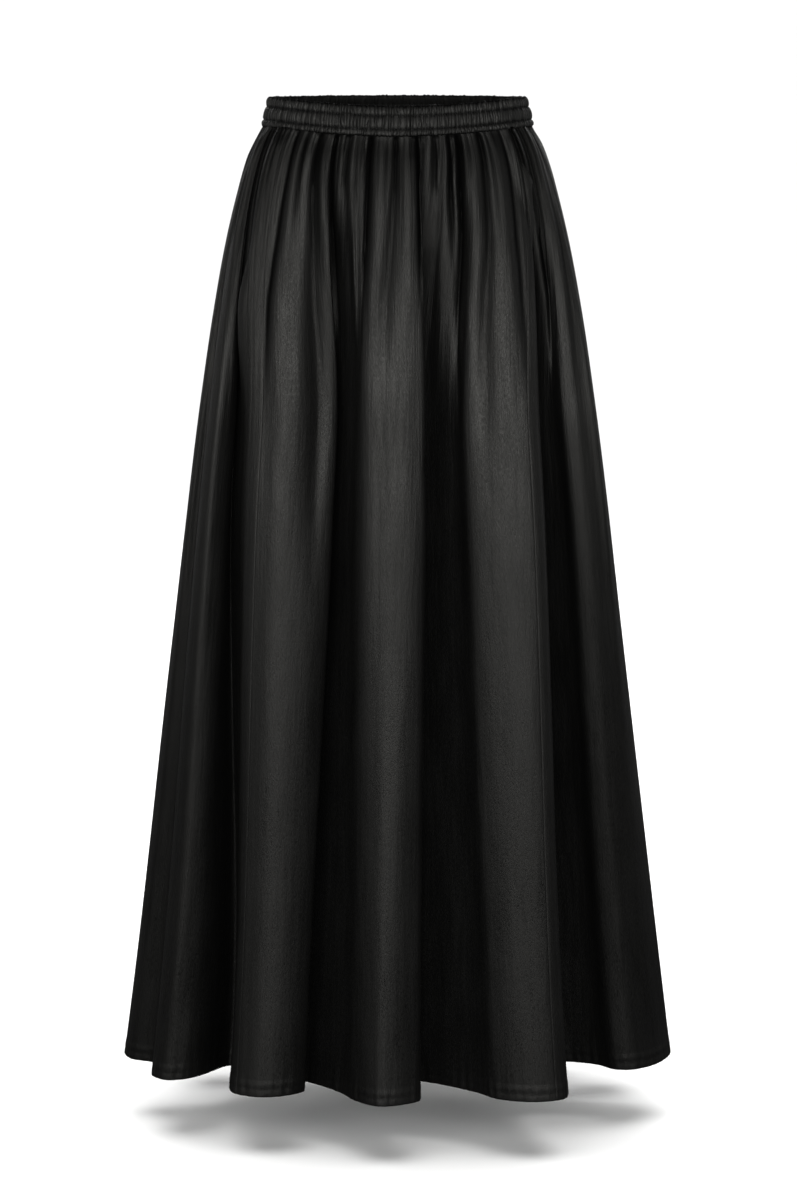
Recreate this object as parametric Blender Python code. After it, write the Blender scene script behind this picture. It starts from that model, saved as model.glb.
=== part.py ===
"""Maxi skirt in satin: six gores gathered into an elastic waistband.

Metres, +Z up. The origin is the middle of the waistband's ring, at half its height.
The front faces -Y, and +X is to the right of someone who looks at the front.
The skirt is filled out and hollow, open at the waist and at the hem.
"""

import math
from collections import namedtuple

import bmesh
import bpy
import numpy as np

# ---- driving sizes -------------------------------------------------------------------------

BAND_HEIGHT = 0.028
BAND_HALF_WIDTH = 0.1285     # middle of the ring, side to side
BAND_HALF_DEPTH = 0.0920     # middle of the ring, front to back
BAND_FLARE = 0.0060          # how much wider the band's lower edge is than its upper edge
BAND_INSIDE = 0.0016         # from the ring line to the band's inner face
LENGTH = 0.960               # from the band's upper edge to the hem
CLOTH_WALL = 0.0012
SEAM_GAP = 0.0003

BAND_COLUMNS = 72
FINE_COLUMNS = 1440          # places round the cloth where its section is worked out
FOLD_SOFTNESS = 0.0012       # roundness of the folds, as a share of the way round
GATHER_SEED = 11

HEM_DROP = LENGTH - BAND_HEIGHT - SEAM_GAP     # from the gores' upper edge to the hem
GORE_TOP = -BAND_HEIGHT / 2 - SEAM_GAP
KNEE_DROP = 0.300            # where the folds have formed

# How far the waistband is lifted at an angle from the middle front, the same on both sides
Lift = namedtuple("Lift", "angle height")
WAIST_LINE = (
    Lift(-25, 0.0002),
    Lift(0, -0.0012),
    Lift(25, 0.0002),
    Lift(45, 0.0020),
    Lift(62, 0.0027),
    Lift(90, 0.0012),
    Lift(130, -0.0018),
    Lift(180, -0.0033),
    Lift(230, -0.0018),
)

# ---- the cloth's outline -------------------------------------------------------------------

# drop is measured down from the gores' upper edge; the other columns are half widths
Outline = namedtuple("Outline", "drop side front back")
OUTLINE = (
    Outline(0.0000, 0.1325, 0.0958, 0.0958),
    Outline(0.0040, 0.1350, 0.0968, 0.0972),
    Outline(0.0100, 0.1383, 0.0990, 0.1000),
    Outline(0.0220, 0.1438, 0.1038, 0.1060),
    Outline(0.0400, 0.1500, 0.1100, 0.1140),
    Outline(0.0610, 0.1558, 0.1160, 0.1215),
    Outline(0.1000, 0.1655, 0.1250, 0.1315),
    Outline(0.1790, 0.1805, 0.1372, 0.1455),
    Outline(0.2580, 0.1923, 0.1465, 0.1555),
    Outline(0.3380, 0.2032, 0.1550, 0.1640),
    Outline(0.4990, 0.2226, 0.1695, 0.1785),
    Outline(0.7430, 0.2514, 0.1910, 0.1990),
    Outline(HEM_DROP, 0.2750, 0.2090, 0.2160),
)

# ---- the large folds -----------------------------------------------------------------------

# A fold has five corners: the foot of its left wall, its left shoulder, its peak, its right
# shoulder and the foot of its right wall. At the waist each has an angle round the axis, in
# degrees from the middle front towards +X. At the knee and the hem each has a place: how far
# right of the axis and how far in front of it. late is how late the valley on its right forms.
Fold = namedtuple("Fold", "name late waist knee hem")
LEFT_FOOT, LEFT_SHOULDER, PEAK, RIGHT_SHOULDER, RIGHT_FOOT = range(5)
FRONT_FOLDS = (
    Fold("front_middle", 1.1, (-14, -11, -1, 8, 11),
         ((-0.042, 0.118), (-0.036, 0.143), (-0.008, 0.151), (0.025, 0.144), (0.010, 0.082)),
         ((-0.053, 0.160), (-0.043, 0.183), (-0.018, 0.207), (0.019, 0.190), (0.004, 0.106))),
    Fold("front_right", 2.3, (26, 29.5, 41, 54, 57),
         ((0.057, 0.115), (0.066, 0.133), (0.112, 0.142), (0.129, 0.138), (0.116, 0.058)),
         ((0.080, 0.157), (0.095, 0.177), (0.136, 0.190), (0.155, 0.185), (0.143, 0.032))),
    Fold("right_front", 1.6, (63, 67, 71, 75, 79),
         ((0.157, 0.080), (0.164, 0.0905), (0.173, 0.0925), (0.188, 0.086), (0.1965, 0.081)),
         ((0.202, 0.048), (0.215, 0.064), (0.229, 0.067), (0.249, 0.055), (0.264, 0.034))),
    Fold("right_side", 1.4, (83, 88, 93, 98, 102),
         ((0.1982, 0.058), (0.1978, 0.026), (0.198, 0.002), (0.190, -0.024), (0.168, -0.030)),
         ((0.272, 0.014), (0.2745, 0.004), (0.275, -0.008), (0.262, -0.028), (0.222, -0.038))),
    Fold("left_side", 1.5, (-101, -97, -91, -87, -84),
         ((-0.168, -0.026), (-0.190, -0.018), (-0.198, -0.002), (-0.1978, 0.012), (-0.1965, 0.0535)),
         ((-0.204, -0.036), (-0.250, -0.027), (-0.275, -0.006), (-0.2745, 0.004), (-0.266, 0.024))),
    Fold("left_front", 2.4, (-80, -77, -71, -66, -64),
         ((-0.188, 0.0558), (-0.185, 0.092), (-0.177, 0.0985), (-0.168, 0.0925), (-0.162, 0.070)),
         ((-0.2455, 0.0355), (-0.2405, 0.095), (-0.228, 0.107), (-0.214, 0.1045), (-0.166, 0.050))),
    Fold("front_left", 1.4, (-61, -52, -43, -27, -24.5),
         ((-0.150, 0.110), (-0.134, 0.119), (-0.114, 0.1255), (-0.0585, 0.1045), (-0.065, 0.0785)),
         ((-0.1645, 0.105), (-0.158, 0.160), (-0.136, 0.172), (-0.092, 0.151), (-0.096, 0.112))),
)

# The hidden back's folds are alike: a peak angle at each level, a width in degrees, the reach
# of the peak and of the floor beside it
BackFold = namedtuple("BackFold", "name waist knee hem width reach floor")
BACK_FOLDS = (
    BackFold("right_back", 117, 117, 118, 22, 1.01, 0.67),
    BackFold("back_right", 142, 143, 144, 19, 1.02, 0.70),
    BackFold("back_middle", 170, 169, 171, 25, 1.00, 0.66),
    BackFold("back_left", 201, 201, 200, 23, 1.03, 0.68),
    BackFold("left_back", 233, 232, 231, 24, 1.01, 0.71),
)
SHOULDER_SHARE = 0.36        # a back fold's shoulders and feet, as shares of its width
FOOT_SHARE = 0.40
SHOULDER_REACH = 0.94        # as a share of the peak's reach
KNEE_SHARE = 0.78            # how much of its depth a back fold has at the knee
BACK_LATE = 1.4              # how late the back's valleys form

# ---- the gathers under the band ------------------------------------------------------------

# A gather is a narrow trough. across is its place from the middle front at its upper end and
# across_low where it dies out, low how far down that is; its half width grows on the way.
Gather = namedtuple("Gather", "across across_low low width width_low depth")
FRONT_GATHERS = (
    Gather(-0.1344, -0.1522, 0.295, 0.0030, 0.0050, 0.0060),
    Gather(-0.1073, -0.1286, 0.283, 0.0032, 0.0040, 0.0080),
    Gather(-0.0813, -0.0834, 0.467, 0.0035, 0.0160, 0.0100),
    Gather(-0.0620, -0.0577, 0.236, 0.0030, 0.0080, 0.0100),
    Gather(-0.0515, -0.0537, 0.079, 0.0020, 0.0028, 0.0060),
    Gather(-0.0285, -0.0380, 0.231, 0.0032, 0.0060, 0.0105),
    Gather(-0.0035, -0.0129, 0.287, 0.0030, 0.0140, 0.0090),
    Gather(0.0217, 0.0236, 0.183, 0.0026, 0.0040, 0.0080),
    Gather(0.0497, 0.0555, 0.158, 0.0028, 0.0050, 0.0085),
    Gather(0.0611, 0.0575, 0.331, 0.0030, 0.0130, 0.0125),
    Gather(0.0862, 0.0842, 0.386, 0.0034, 0.0110, 0.0085),
    Gather(0.1084, 0.1274, 0.253, 0.0026, 0.0040, 0.0075),
    Gather(0.1308, 0.1499, 0.261, 0.0028, 0.0050, 0.0065),
)
BACK_GATHERS = 13
BACK_GATHER_LOW = (0.10, 0.24)
BACK_GATHER_DEPTH = (0.0050, 0.0075)
BACK_GATHER_WIDTH = (0.0031, 0.0065)
NEAR_LINE = 0.0015           # how close to a gather's place its line of cloth is looked for
GATHER_START = 0.35          # share of a gather's depth that it has at the band
GATHER_FULL_DROP = 0.016     # where it has all of it
GATHER_HOLD = 0.25           # share of its length before it starts to die out

# ---- the cut -------------------------------------------------------------------------------

# A gore starts at a seam, which follows one line of the cloth: a fold's shoulder or peak
Gore = namedtuple("Gore", "name fold line columns")
GORES = (
    Gore("gore_front_right", "front_right", RIGHT_SHOULDER, 19),
    Gore("gore_back_right", "right_side", PEAK, 21),
    Gore("gore_back_centre", "back_right", PEAK, 34),
    Gore("gore_back_left", "back_left", PEAK, 19),
    Gore("gore_front_left", "left_side", PEAK, 18),
    Gore("gore_front_centre", "front_left", LEFT_SHOULDER, 33),
)
ROW_DROPS = (0.0, 0.005, 0.012, 0.022, 0.040, 0.065, 0.100, 0.150, 0.220, 0.320, 0.450,
             0.610, 0.780, HEM_DROP)

# Out from the ring line and up from mid-height: down the outside over three puffed tiers,
# which two stitch rows part, and up the flat inside
TIER_LINES = (0.0064, -0.0068)
BAND_PROFILE = (
    (0.0002, BAND_HEIGHT / 2), (0.0016, 0.0102),
    (0.0004, TIER_LINES[0]), (0.0018, -0.0002),
    (0.0004, TIER_LINES[1]), (0.0016, -0.0104),
    (0.0002, -BAND_HEIGHT / 2), (-BAND_INSIDE, -BAND_HEIGHT / 2),
    (-BAND_INSIDE, 0.0), (-BAND_INSIDE, BAND_HEIGHT / 2),
)

GORE_COLOUR = (0.012, 0.012, 0.013)
BAND_COLOUR = (0.016, 0.016, 0.017)


def smooth_step(value):
    """0 below 0, 1 above 1, with an even start and end."""
    value = np.clip(value, 0.0, 1.0)
    return value * value * (3.0 - 2.0 * value)


def smooth_curve(knots, values, at):
    """A smooth curve through a row of values, read at some places between their knots."""
    knots, values = np.asarray(knots), np.asarray(values)
    slopes = np.gradient(values, knots)
    row = np.clip(np.searchsorted(knots, at) - 1, 0, len(knots) - 2)
    step = knots[row + 1] - knots[row]
    t = (at - knots[row]) / step
    return ((1 + 2 * t) * (1 - t) ** 2 * values[row] + t * (1 - t) ** 2 * step * slopes[row]
            + t * t * (3 - 2 * t) * values[row + 1] + t * t * (t - 1) * step * slopes[row + 1])


def waist_lift(turn):
    """How far the band is lifted at some angles from the middle front, in radians."""
    angles, heights = zip(*WAIST_LINE)
    return smooth_curve(angles, heights, np.abs(np.degrees(turn)))


def outline_at(drop):
    """Half width, front reach and back reach of the cloth at a drop."""
    drops = [row.drop for row in OUTLINE]
    return [smooth_curve(drops, [getattr(row, name) for row in OUTLINE], drop)
            for name in ("side", "front", "back")]


def back_fold(row):
    """A plain fold of the hidden back, with the same corners as a front one."""
    steps = np.array((-FOOT_SHARE, -SHOULDER_SHARE, 0, SHOULDER_SHARE, FOOT_SHARE)) * row.width
    shoulder = row.reach * SHOULDER_REACH
    reach = np.array((row.floor, shoulder, row.reach, shoulder, row.floor))
    places = []
    for drop, angle, depth in ((KNEE_DROP, row.knee, KNEE_SHARE), (HEM_DROP, row.hem, 1.0)):
        side, _, back = outline_at(drop)
        turn, share = np.radians(angle + steps), 1 - (1 - reach) * depth
        places.append(np.column_stack((side * share * np.sin(turn), back * share * np.cos(turn))))
    return Fold(row.name, BACK_LATE, row.waist + steps, *places)


def all_folds():
    """Every fold from the middle front round by the right, the back and the left."""
    right, left = FRONT_FOLDS[:4], FRONT_FOLDS[4:]
    turned = [fold._replace(waist=np.add(fold.waist, 360)) for fold in left]
    return list(right) + [back_fold(row) for row in BACK_FOLDS] + turned


def soften(loop):
    """Round the corners of a closed loop of evenly spaced places."""
    count = len(loop)
    away = np.minimum(np.arange(count), count - np.arange(count)) / count
    kernel = np.exp(-0.5 * (away / FOLD_SOFTNESS) ** 2)
    spectrum = np.fft.rfft(kernel / kernel.sum())
    return np.fft.irfft(np.fft.rfft(loop, axis=0) * spectrum[:, None], n=count, axis=0)


def fold_corners(folds, level, drop):
    """The folds' corners at one level, right and forward, as shares of the outline there."""
    places = np.vstack([getattr(fold, level) for fold in folds])
    side, front, back = outline_at(drop)
    return places / np.column_stack((np.full(len(places), side),
                                     np.where(places[:, 1] > 0, front, back)))


def corner_shares(folds):
    """How far round the hem each fold corner lies, from 0 to 1."""
    places = np.vstack([fold.hem for fold in folds])
    steps = np.linalg.norm(np.roll(places, -1, axis=0) - places, axis=1)
    return np.concatenate(([0.0], np.cumsum(steps))) / steps.sum()


def closed_curve(shares, corners):
    """A closed smooth curve through corners, at FINE_COLUMNS places round the cloth."""
    knots = np.concatenate((shares[-3:-1] - 1, shares, shares[1:3] + 1))
    around = np.vstack((corners[-2:], corners, corners[:3]))
    cloth = np.arange(FINE_COLUMNS) / FINE_COLUMNS
    return np.column_stack([smooth_curve(knots, around[:, axis], cloth) for axis in (0, 1)])


class Cloth:
    """The gathered and folded cloth, as a place for each line of it at each drop."""

    def __init__(self):
        self.folds = all_folds()
        self.shares = corner_shares(self.folds)
        self.loops = {level: soften(closed_curve(self.shares, fold_corners(self.folds, level, drop)))
                      for level, drop in (("knee", KNEE_DROP), ("hem", HEM_DROP))}
        self.loops["waist"] = self.waist_loop()
        self.late = self.valley_delays()
        self.gathers = self.front_gathers() + self.back_gathers()

    def waist_loop(self):
        """The waist's ring, with each fold's cloth at its own angle."""
        angles = np.radians(np.concatenate([fold.waist for fold in self.folds]))
        cloth = np.arange(FINE_COLUMNS) / FINE_COLUMNS
        turn = np.interp(cloth, self.shares, np.append(angles, angles[0] + 2 * math.pi))
        ring = soften(np.column_stack((np.sin(turn), np.cos(turn))))
        return ring / np.linalg.norm(ring, axis=1)[:, None]

    def valley_delays(self):
        """How late the cloth folds, for every fine column."""
        valleys = [(self.shares[5 * number + RIGHT_FOOT] + self.shares[5 * number + 5]) / 2
                   for number in range(len(self.folds))]
        cloth = np.arange(FINE_COLUMNS) / FINE_COLUMNS
        return np.interp(cloth, valleys, [fold.late for fold in self.folds], period=1.0)

    def smooth_section(self, drop):
        """The section without its gathers: X and Y of every fine column."""
        formed = (math.sin(math.pi / 2 * min(drop / KNEE_DROP, 1)) ** self.late)[:, None]
        fallen = smooth_step((drop - KNEE_DROP / 2) / (HEM_DROP - KNEE_DROP / 2))
        folded = (1 - fallen) * self.loops["knee"] + fallen * self.loops["hem"]
        shape = (1 - formed) * self.loops["waist"] + formed * folded
        side, front, back = outline_at(drop)
        widest = np.where(shape[:, 0] > 0, shape[:, 0].max(), -shape[:, 0].min())
        reach = np.where(shape[:, 1] > 0, front, back)
        return np.column_stack((side * shape[:, 0] / widest, -reach * shape[:, 1]))

    def front_line(self, across, drop):
        """The share of the cloth that is foremost at `across` on the front at a drop."""
        section = self.smooth_section(drop)
        near = np.abs(section[:, 0] - across) < NEAR_LINE
        return int(np.argmin(np.where(near, section[:, 1], 1.0))) / FINE_COLUMNS

    def front_gathers(self):
        return [(self.front_line(row.across, 0.0), self.front_line(row.across_low, row.low), row)
                for row in FRONT_GATHERS]

    def back_gathers(self):
        """Uneven gathers round the hidden back, between the side seams."""
        first, last = self.line_share("right_side", PEAK), self.line_share("left_side", PEAK)
        chance = np.random.default_rng(GATHER_SEED)
        found = []
        for number in range(BACK_GATHERS):
            share = first + (last - first) * (number + 0.5 + chance.uniform(-0.2, 0.2)) / BACK_GATHERS
            row = Gather(0.0, 0.0, chance.uniform(*BACK_GATHER_LOW), *BACK_GATHER_WIDTH,
                         chance.uniform(*BACK_GATHER_DEPTH))
            found.append((share, share + chance.uniform(-0.006, 0.006), row))
        return found

    def line_share(self, fold_name, line):
        names = [fold.name for fold in self.folds]
        return self.shares[5 * names.index(fold_name) + line]

    def section(self, drop):
        """The gathered section: X and Y of every fine column."""
        smooth = self.smooth_section(drop)
        along = (np.roll(smooth, -1, axis=0) - np.roll(smooth, 1, axis=0)) / 2
        pace = np.linalg.norm(along, axis=1)
        outward = np.column_stack((along[:, 1], -along[:, 0])) / pace[:, None]
        cloth = np.arange(FINE_COLUMNS) / FINE_COLUMNS
        sunk = np.zeros(FINE_COLUMNS)
        for top, low, row in self.gathers:
            if drop >= row.low:
                continue
            gone = drop / row.low
            centre = top + ((low - top + 0.5) % 1.0 - 0.5) * gone
            away = (cloth - centre + 0.5) % 1.0 - 0.5
            metres = away * FINE_COLUMNS * pace[int(centre * FINE_COLUMNS) % FINE_COLUMNS]
            rise = GATHER_START + (1 - GATHER_START) * smooth_step(drop / GATHER_FULL_DROP)
            fade = 1 - smooth_step((gone - GATHER_HOLD) / (1 - GATHER_HOLD))
            width = row.width + (row.width_low - row.width) * gone
            sunk += row.depth * rise * fade * np.exp(-(metres / width) ** 2)
        back = np.column_stack((1 - smooth_step(-2 * outward[:, 1]), np.ones(FINE_COLUMNS)))
        pushed = outward * back
        return smooth - pushed / np.linalg.norm(pushed, axis=1)[:, None] * sunk[:, None]

    def heights(self, drop):
        """Z of every fine column: the upper edge follows the band, the hem is level."""
        right, forward = self.loops["waist"].T
        return GORE_TOP - drop + waist_lift(np.arctan2(right, forward)) * (1 - drop / HEM_DROP)

    def ring(self, shares, drop):
        """Places on the cloth's outer face at some shares of the way round."""
        section = self.section(drop)
        cloth = np.arange(FINE_COLUMNS) / FINE_COLUMNS
        return np.column_stack([np.interp(shares, cloth, values, period=1.0)
                                for values in (section[:, 0], section[:, 1], self.heights(drop))])


def wall_directions(ring):
    """Unit vectors along a closed ring of places and level with it, outwards."""
    along = np.roll(ring, -1, axis=0) - np.roll(ring, 1, axis=0)
    along[:, 2] = 0.0
    along /= np.linalg.norm(along, axis=1)[:, None]
    return along, np.column_stack((along[:, 1], -along[:, 0], along[:, 2]))


def satin(name, colour):
    """A plain dark cloth finish."""
    material = bpy.data.materials.new(name)
    material.use_nodes = True
    shader = material.node_tree.nodes["Principled BSDF"]
    shader.inputs["Base Color"].default_value = (*colour, 1.0)
    shader.inputs["Roughness"].default_value = 0.42
    shader.inputs["Metallic"].default_value = 0.0
    material.diffuse_color = (*colour, 1.0)
    return material


def add_wall(name, loops, closed_round, colour):
    """A wall through loops of places, each of which runs down its outside and up its inside."""
    shape = bmesh.new()
    corners = [[shape.verts.new(place) for place in loop] for loop in loops]
    steps = list(zip(corners, corners[1:] + corners[:1]))
    for one, other in steps if closed_round else steps[:-1]:
        for i in range(len(one)):
            j = (i + 1) % len(one)
            shape.faces.new((one[i], one[j], other[j], other[i]))
    if not closed_round:
        for loop in (corners[0], corners[-1]):
            last = len(loop) - 1
            for i in range(last // 2):
                shape.faces.new((loop[i], loop[i + 1], loop[last - i - 1], loop[last - i]))
    bmesh.ops.recalc_face_normals(shape, faces=shape.faces)
    mesh = bpy.data.meshes.new(name)
    shape.to_mesh(mesh)
    shape.free()
    mesh.shade_smooth()
    mesh.materials.append(satin(name + "_satin", colour))
    piece = bpy.data.objects.new(name, mesh)
    bpy.context.scene.collection.objects.link(piece)
    return piece


def seam_shares(cloth):
    """Where each gore starts and ends, as shares of the way round that only grow."""
    starts = [cloth.line_share(gore.fold, gore.line) for gore in GORES]
    ends = starts[1:] + [starts[0] + 1.0]
    return [(start, end if end > start else end + 1.0) for start, end in zip(starts, ends)]


def add_gores(cloth):
    """The six gores, SEAM_GAP apart at their seams."""
    shares, firsts = [], []
    for gore, (start, end) in zip(GORES, seam_shares(cloth)):
        firsts.append(len(shares))
        shares += list(np.linspace(start, end, gore.columns, endpoint=False))
    outside, inside, sideways = [], [], []
    for drop in ROW_DROPS:
        ring = cloth.ring(np.array(shares), drop)
        along, outward = wall_directions(ring)
        outside.append(ring)
        inside.append(ring - CLOTH_WALL * outward)
        sideways.append(along)
    for gore, first in zip(GORES, firsts):
        loops = []
        for step in range(gore.columns + 1):
            column = (first + step) % len(shares)
            shift = (step == 0) * SEAM_GAP / 2 - (step == gore.columns) * SEAM_GAP / 2
            down = [outside[row][column] + shift * sideways[row][column]
                    for row in range(len(ROW_DROPS))]
            up = [inside[row][column] + shift * sideways[row][column]
                  for row in reversed(range(len(ROW_DROPS)))]
            loops.append(down + up)
        add_wall(gore.name, loops, False, GORE_COLOUR)


def add_waistband():
    """The folded casing with the elastic inside it, as one ring."""
    loops = []
    for column in range(BAND_COLUMNS):
        turn = 2 * math.pi * column / BAND_COLUMNS
        right, forward = math.sin(turn), math.cos(turn)
        outward = np.array((right / BAND_HALF_WIDTH, -forward / BAND_HALF_DEPTH))
        outward /= np.linalg.norm(outward)
        lift = float(waist_lift(math.atan2(right, forward)))
        loop = []
        for out, up in BAND_PROFILE:
            reach = out - BAND_FLARE * up / BAND_HEIGHT
            loop.append((BAND_HALF_WIDTH * right + reach * outward[0],
                         -BAND_HALF_DEPTH * forward + reach * outward[1], up + lift))
        loops.append(loop)
    add_wall("waistband", loops, True, BAND_COLOUR)


def main():
    for old in list(bpy.data.objects):
        bpy.data.objects.remove(old, do_unlink=True)
    add_waistband()
    add_gores(Cloth())


main()
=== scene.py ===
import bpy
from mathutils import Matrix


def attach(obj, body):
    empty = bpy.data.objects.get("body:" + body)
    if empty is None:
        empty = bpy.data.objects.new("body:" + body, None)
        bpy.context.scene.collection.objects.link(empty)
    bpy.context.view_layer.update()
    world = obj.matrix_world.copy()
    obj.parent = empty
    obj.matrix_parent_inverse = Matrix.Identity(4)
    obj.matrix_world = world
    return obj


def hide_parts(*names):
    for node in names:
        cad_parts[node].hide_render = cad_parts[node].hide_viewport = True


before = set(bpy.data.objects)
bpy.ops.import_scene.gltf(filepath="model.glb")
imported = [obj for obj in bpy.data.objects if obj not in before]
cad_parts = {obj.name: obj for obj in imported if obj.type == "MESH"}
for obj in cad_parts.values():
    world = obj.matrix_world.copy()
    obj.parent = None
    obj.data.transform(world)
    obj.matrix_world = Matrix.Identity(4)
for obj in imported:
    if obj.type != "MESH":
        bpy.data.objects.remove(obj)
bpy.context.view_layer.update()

import functools
import math
from collections import namedtuple

import bpy
import numpy as np
from mathutils import Vector

# Maxi skirt in black satin: six gores gathered into a ruched elastic waistband.
# Metres, +Z up. The origin is the middle of the waistband's ring, and the front faces -Y.
# The cloth follows the same outline and folds as the solids, with its finer gathers added.

# ---- sizes

BAND_HEIGHT = 0.028
BAND_HALF_WIDTH = 0.1285
BAND_HALF_DEPTH = 0.0920
BAND_FLARE = 0.0060
BAND_INSIDE = 0.0016  # from the ring line in to the inner face
LENGTH = 0.960
SEAM_GAP = 0.0003
HEM_DROP = LENGTH - BAND_HEIGHT - SEAM_GAP  # from the gores' upper edge to the hem
GORE_TOP = -BAND_HEIGHT / 2 - SEAM_GAP
KNEE_DROP = 0.300  # where the folds have formed
FINE_COLUMNS = 1440  # places round the cloth where its section is worked out
FOLD_SOFTNESS = 0.0012  # share of the way round over which a fold's corner is rounded
CLOTH_COLUMNS = 1160  # columns round the hem that are kept in the meshes

CLOTH_WALL = 0.0008
HEM_FOLD = 0.0140  # height of the turned-up hem
HEM_WALL = 0.0019  # cloth wall where the hem is doubled
HEM_STITCH = 0.0070  # the topstitch above the hem's edge
TUCK = 0.0024  # how far the gathered edge goes up behind the band

# How far the waistband is lifted at an angle from the middle front, the same on both sides
Lift = namedtuple("Lift", "angle height")
WAIST_LINE = (
    Lift(-25, 0.0002),
    Lift(0, -0.0012),
    Lift(25, 0.0002),
    Lift(45, 0.0020),
    Lift(62, 0.0027),
    Lift(90, 0.0012),
    Lift(130, -0.0018),
    Lift(180, -0.0033),
    Lift(230, -0.0018),
)

# drop is measured down from the gores' upper edge; the other columns are half widths
Outline = namedtuple("Outline", "drop side front back")
OUTLINE = (
    Outline(0.0000, 0.1325, 0.0958, 0.0958),
    Outline(0.0040, 0.1350, 0.0968, 0.0972),
    Outline(0.0100, 0.1383, 0.0990, 0.1000),
    Outline(0.0220, 0.1438, 0.1038, 0.1060),
    Outline(0.0400, 0.1500, 0.1100, 0.1140),
    Outline(0.0610, 0.1558, 0.1160, 0.1215),
    Outline(0.1000, 0.1655, 0.1250, 0.1315),
    Outline(0.1790, 0.1805, 0.1372, 0.1455),
    Outline(0.2580, 0.1923, 0.1465, 0.1555),
    Outline(0.3380, 0.2032, 0.1550, 0.1640),
    Outline(0.4990, 0.2226, 0.1695, 0.1785),
    Outline(0.7430, 0.2514, 0.1910, 0.1990),
    Outline(HEM_DROP, 0.2750, 0.2090, 0.2160),
)

# A fold has five corners: the foot of its left wall, its left shoulder, its peak, its right
# shoulder and the foot of its right wall. At the waist each has an angle round the axis, in
# degrees from the middle front towards +X. At the knee and the hem each has a place: how far
# right of the axis and how far in front of it. late is how late the valley on its right forms.
Fold = namedtuple("Fold", "name late waist knee hem")
LEFT_SHOULDER, PEAK, RIGHT_SHOULDER, RIGHT_FOOT = range(1, 5)
CORNERS = 5
FRONT_FOLDS = (
    Fold("front_middle", 1.1, (-14, -11, -1, 8, 11),
         ((-0.042, 0.118), (-0.036, 0.143), (-0.008, 0.151), (0.025, 0.144), (0.010, 0.082)),
         ((-0.053, 0.160), (-0.043, 0.183), (-0.018, 0.207), (0.019, 0.190), (0.004, 0.106))),
    Fold("front_right", 2.3, (26, 29.5, 41, 54, 57),
         ((0.057, 0.115), (0.066, 0.133), (0.112, 0.142), (0.129, 0.138), (0.116, 0.058)),
         ((0.080, 0.157), (0.095, 0.177), (0.136, 0.190), (0.155, 0.185), (0.143, 0.032))),
    Fold("right_front", 1.6, (63, 67, 71, 75, 79),
         ((0.157, 0.080), (0.164, 0.0905), (0.173, 0.0925), (0.188, 0.086), (0.1965, 0.081)),
         ((0.202, 0.048), (0.215, 0.064), (0.229, 0.067), (0.249, 0.055), (0.264, 0.034))),
    Fold("right_side", 1.4, (83, 88, 93, 98, 102),
         ((0.1982, 0.058), (0.1978, 0.026), (0.198, 0.002), (0.190, -0.024), (0.168, -0.030)),
         ((0.272, 0.014), (0.2745, 0.004), (0.275, -0.008), (0.262, -0.028), (0.222, -0.038))),
    Fold("left_side", 1.5, (-101, -97, -91, -87, -84),
         ((-0.168, -0.026), (-0.190, -0.018), (-0.198, -0.002), (-0.1978, 0.012), (-0.1965, 0.0535)),
         ((-0.204, -0.036), (-0.250, -0.027), (-0.275, -0.006), (-0.2745, 0.004), (-0.266, 0.024))),
    Fold("left_front", 2.4, (-80, -77, -71, -66, -64),
         ((-0.188, 0.0558), (-0.185, 0.092), (-0.177, 0.0985), (-0.168, 0.0925), (-0.162, 0.070)),
         ((-0.2455, 0.0355), (-0.2405, 0.095), (-0.228, 0.107), (-0.214, 0.1045), (-0.166, 0.050))),
    Fold("front_left", 1.4, (-61, -52, -43, -27, -24.5),
         ((-0.150, 0.110), (-0.134, 0.119), (-0.114, 0.1255), (-0.0585, 0.1045), (-0.065, 0.0785)),
         ((-0.1645, 0.105), (-0.158, 0.160), (-0.136, 0.172), (-0.092, 0.151), (-0.096, 0.112))),
)

# The hidden back's folds are alike: a peak angle at each level, a width in degrees, the reach
# of the peak and of the floor beside it
BackFold = namedtuple("BackFold", "name waist knee hem width reach floor")
BACK_FOLDS = (
    BackFold("right_back", 117, 117, 118, 22, 1.01, 0.67),
    BackFold("back_right", 142, 143, 144, 19, 1.02, 0.70),
    BackFold("back_middle", 170, 169, 171, 25, 1.00, 0.66),
    BackFold("back_left", 201, 201, 200, 23, 1.03, 0.68),
    BackFold("left_back", 233, 232, 231, 24, 1.01, 0.71),
)
SHOULDER_SHARE = 0.36  # of the fold's width, from its peak to a shoulder
FOOT_SHARE = 0.40  # and from its peak to a foot
SHOULDER_REACH = 0.94  # of the peak's reach
KNEE_SHARE = 0.78  # of the fold's depth that it has at the knee
BACK_LATE = 1.4

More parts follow.
